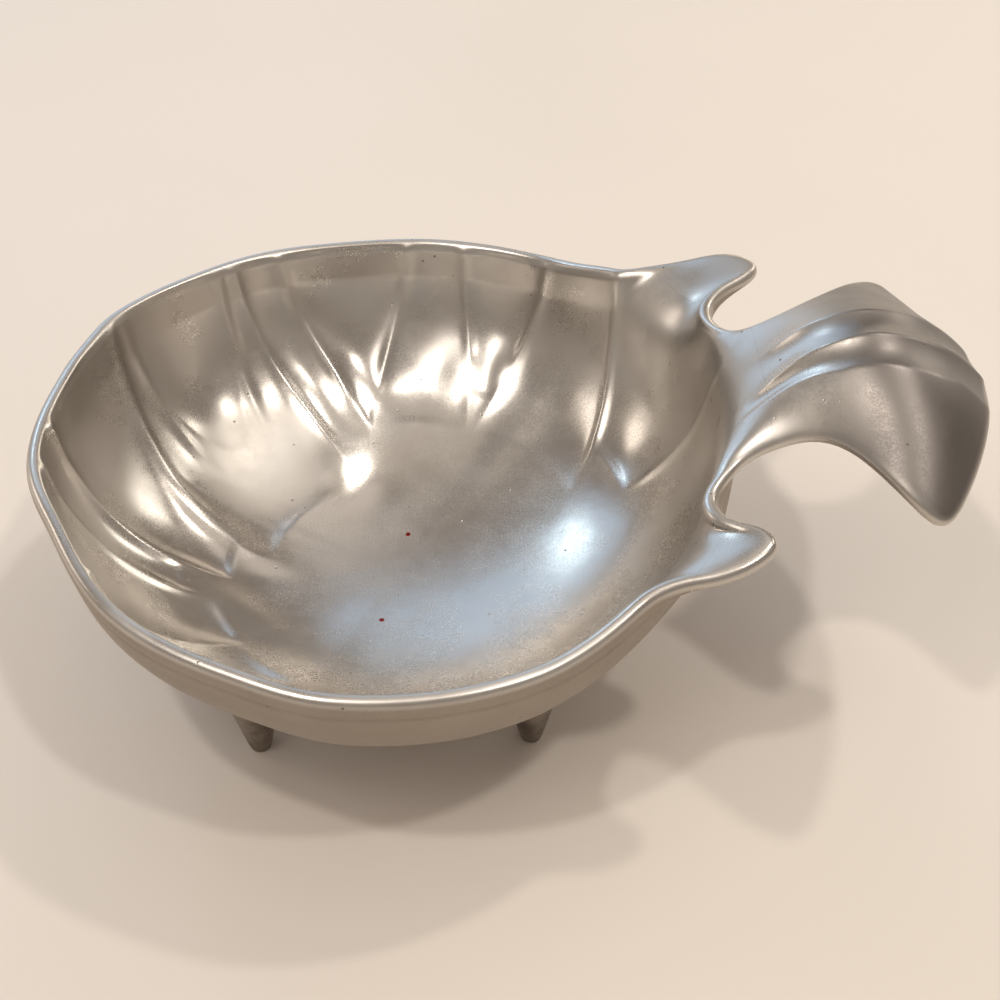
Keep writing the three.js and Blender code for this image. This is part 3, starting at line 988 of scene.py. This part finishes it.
def polished_metal():
    """Hand-polished cast metal: warm grey, hazy, with hairline scratches and small pits, and
    painted shade on the tail's top and the outside.
    """
    n = Nodes("polished_cast_metal")
    side = n.add("ShaderNodeAttribute", attribute_name="side").outputs["Fac"]
    outside = n.step(side, -0.6, -0.98)
    marked = n.near(*MARKED_PART)
    split = n.add("ShaderNodeSeparateXYZ")
    n.link(n.place, split.inputs[0])
    # The tail's top, where shade is painted into the tone and roughness is added
    on_tail = n.step(split.outputs["X"], TAIL_TONE_FROM, TAIL_TONE_TO)
    on_tail = n.math("MULTIPLY", on_tail, n.step(side, 0.55, 0.98))

    cell = n.add("ShaderNodeTexVoronoi", feature="F1")
    n.link(n.place, cell.inputs["Vector"])
    cell.inputs["Scale"].default_value = 260
    dots = n.step(cell.outputs["Distance"], 0.05, 0.11, 1.0, 0.0)
    pits = n.math("MULTIPLY", dots, n.step(n.noise(420, 1.0), 0.56, 0.62))

    haze = n.step(n.noise(38, 4.0, 0.6), 0.35, 0.65)
    cloud = n.step(n.noise(14, 3.0, 0.55), 0.4, 0.62)
    tone = n.mix(cloud, METAL_DARK, METAL_LIGHT)
    tone = n.mix(n.math("MULTIPLY", haze, HAZE_SHARE), tone, METAL_HAZE)
    # Painted shade: the outside is darkened below the inside's tone, over its satin finish
    tone = n.mix(outside, tone, OUTSIDE_TONE_AND_SHADE)
    tone = n.mix(n.math("MULTIPLY", pits, PIT_SHARE), tone, PIT_TONE)
    # Painted shade: the tail's top is darkened
    tone = n.mix(n.math("MULTIPLY", on_tail, TAIL_SHADE_SHARE), tone, TAIL_PAINTED_SHADE)
    for place, radius in RED_SPECKS:
        tone = n.mix(n.near(place, radius), tone, SPECK_TONE)
    n.link(tone, n.inputs["Base Color"])
    n.inputs["Metallic"].default_value = 1.0

    rough = n.step(n.noise(55, 5.0, 0.65), 0.3, 0.7, *ROUGHNESS)
    rough = n.plus(rough, n.math("SUBTRACT", 1.0, marked), RIM_ROUGHNESS)
    rough = n.math("ADD", rough, n.step(n.noise(2200, 2.0, 0.6), 0.4, 0.6, *FINE_ROUGHNESS))
    rough = n.plus(rough, on_tail, TAIL_ROUGHNESS)
    rough = n.plus(rough, n.near(*HAZY_PATCH), HAZY_ROUGHNESS)
    rough = n.plus(rough, outside, OUTSIDE_ROUGHNESS)
    n.link(rough, n.inputs["Roughness"])

    marks = n.streaks(*MARKS[0])
    for mark in MARKS[1:]:
        marks = n.math("ADD", marks, n.streaks(*mark))
    marks = n.math("MULTIPLY", marks, marked)
    brush = n.noise(1600, 2.0, 0.5, stretch=(1, 1, 0.03))
    brush = n.math("MULTIPLY", n.math("MULTIPLY", brush, outside), BRUSH_HEIGHT)
    height = n.math("ADD", n.math("MULTIPLY", n.noise(90, 2.0), SWELL_HEIGHT), brush)
    height = n.plus(height, marks, MARK_HEIGHT)
    height = n.plus(height, pits, -PIT_DEPTH)
    n.bump(height)
    return n.material


def satin_metal():
    """Cast metal left satin and darker, for the feet."""
    n = Nodes("satin_cast_metal")
    cloud = n.step(n.noise(160, 4.0, 0.6), 0.35, 0.65)
    n.link(n.mix(cloud, SATIN_DARK, SATIN_LIGHT), n.inputs["Base Color"])
    n.inputs["Metallic"].default_value = 1.0
    n.link(n.step(n.noise(300, 4.0, 0.6), 0.3, 0.7, *SATIN_ROUGHNESS), n.inputs["Roughness"])
    n.bump(n.math("MULTIPLY", n.noise(1500, 4.0, 0.6), SATIN_GRAIN))
    return n.material


def floor_material():
    n = Nodes("pale_floor")
    cloud = n.step(n.noise(3, 3.0, 0.5), 0.35, 0.65)
    shade = tuple(c * FLOOR_CLOUDS for c in FLOOR_TONE)
    n.link(n.mix(cloud, FLOOR_TONE, shade), n.inputs["Base Color"])
    n.inputs["Roughness"].default_value = FLOOR_ROUGHNESS
    n.inputs["Specular IOR Level"].default_value = FLOOR_SHEEN
    return n.material


def aim(obj, target):
    direction = Vector(target) - obj.location
    obj.rotation_mode = "QUATERNION"
    obj.rotation_quaternion = direction.to_track_quat("-Z", "Y")


def add_light(name, place, power, color, target, width, height=None):
    """A disc of a width, or a rectangle."""
    data = bpy.data.lights.new(name, "AREA")
    data.shape = "DISK" if height is None else "RECTANGLE"
    data.size = width
    if height is not None:
        data.size_y = height
    data.energy = power
    data.color = color
    light = bpy.data.objects.new(name, data)
    light.location = place
    bpy.context.scene.collection.objects.link(light)
    aim(light, target)


# Three small ceiling lamps: place in metres
LAMPS = [
    ("lamp_near_right", (0.58, -0.374, 1.56)),
    ("lamp_far_right", (0.594, 0.481, 1.56)),
    ("lamp_near_left", (-0.465, -0.382, 1.56)),
]
LAMP_SIZE = 0.1
LAMP_POWER = 4.6
LAMP_COLOR = (1.0, 0.94, 0.86)
LAMP_TARGET = (0, 0, 0.05)

# Soft rectangles, a cool window and warm walls: place, watts, colour, width, height
SOFT_LIGHTS = [
    ("window", (-0.89482, 2.0098, 0.95), 9, (0.46, 0.70, 1.0), 1.8, 1.7),
    ("pane", (-1.14374, 1.76121, 1.45), 2.2, (0.66, 0.85, 1.0), 0.35, 0.35),
    ("warm_wall", (0.89906, 2.22524, 0.45), 5, (1.0, 0.90, 0.74), 1.3, 0.5),
    ("ceiling", (-0.9, -0.9, 1.9), 6, (1.0, 0.93, 0.85), 0.9, 0.9),
    ("right_card", (1.53, 1.29, 1.05), 6, (1.0, 0.95, 0.86), 0.5, 1.0),
    ("left_card", (-1.9, 0.62, 0.77), 3.2, (1.0, 0.90, 0.80), 0.7, 0.65),
    ("far_card", (0.14, 1.14, 1.64), 0.7, (1.0, 0.94, 0.88), 0.55, 0.7),
]
SOFT_TARGET = (0, 0, 0.06)

# The room all round, by the sine of the height above the horizon
ROOM_TONES = [
    (0.0, (0.46, 0.42, 0.38, 1)),
    (0.35, (0.36, 0.31, 0.265, 1)),
    (0.7, (0.33, 0.285, 0.25, 1)),
    (0.88, (0.42, 0.37, 0.33, 1)),
    (0.95, (0.70, 0.63, 0.56, 1)),
    (1.0, (0.80, 0.72, 0.64, 1)),
]

# The photo's view: place and aim in metres, field of view in degrees, sensor in millimetres
CAMERA_PLACE = (-0.00016, -0.27092, 0.2899)
CAMERA_AIM = (-0.00016, -0.02328, 0.059)
FIELD_OF_VIEW = 36
SENSOR_WIDTH = 36


def add_floor():
    corners = [(-1, -1), (1, -1), (1, 1), (-1, 1)]
    points = [(x * FLOOR_HALF, y * FLOOR_HALF, 0) for x, y in corners]
    floor = make_object("floor", points, [(0, 1, 2, 3)])
    floor.data.materials.append(floor_material())


def add_lights():
    for name, place in LAMPS:
        add_light(name, place, LAMP_POWER, LAMP_COLOR, LAMP_TARGET, LAMP_SIZE)
    for name, place, power, color, width, height in SOFT_LIGHTS:
        add_light(name, place, power, color, SOFT_TARGET, width, height)


def add_world():
    world = bpy.data.worlds.new("room")
    bpy.context.scene.world = world
    world.use_nodes = True
    tree = world.node_tree
    tree.nodes.clear()
    output = tree.nodes.new("ShaderNodeOutputWorld")
    light = tree.nodes.new("ShaderNodeBackground")
    place = tree.nodes.new("ShaderNodeTexCoord")
    split = tree.nodes.new("ShaderNodeSeparateXYZ")
    ramp = tree.nodes.new("ShaderNodeValToRGB")
    tree.links.new(place.outputs["Generated"], split.inputs[0])
    tree.links.new(split.outputs["Z"], ramp.inputs[0])
    tree.links.new(ramp.outputs[0], light.inputs["Color"])
    tree.links.new(light.outputs[0], output.inputs[0])
    elements = ramp.color_ramp.elements
    for element, (position, color) in zip(elements, (ROOM_TONES[0], ROOM_TONES[-1])):
        element.position = position
        element.color = color
    for position, color in ROOM_TONES[1:-1]:
        elements.new(position).color = color
    light.inputs["Strength"].default_value = 1.0


def add_camera():
    data = bpy.data.cameras.new("camera")
    data.sensor_fit = "HORIZONTAL"
    data.sensor_width = SENSOR_WIDTH
    data.lens = SENSOR_WIDTH / 2 / math.tan(math.radians(FIELD_OF_VIEW / 2))
    camera = bpy.data.objects.new("camera", data)
    camera.location = CAMERA_PLACE
    bpy.context.scene.collection.objects.link(camera)
    aim(camera, CAMERA_AIM)
    bpy.context.scene.camera = camera


castings, underside_tree = make_castings()
polished = polished_metal()
satin = satin_metal()
for node, piece in castings.items():
    piece.data.materials.clear()
    piece.data.materials.append(polished)
    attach(piece, "root")
    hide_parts(node)
for node, azimuth in FEET:
    piece = make_foot(node, azimuth, underside_tree)
    piece.data.materials.append(satin)
    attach(piece, "root")
    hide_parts(node)

add_floor()
add_lights()
add_world()
add_camera()
bpy.context.scene.view_settings.view_transform = "Standard"
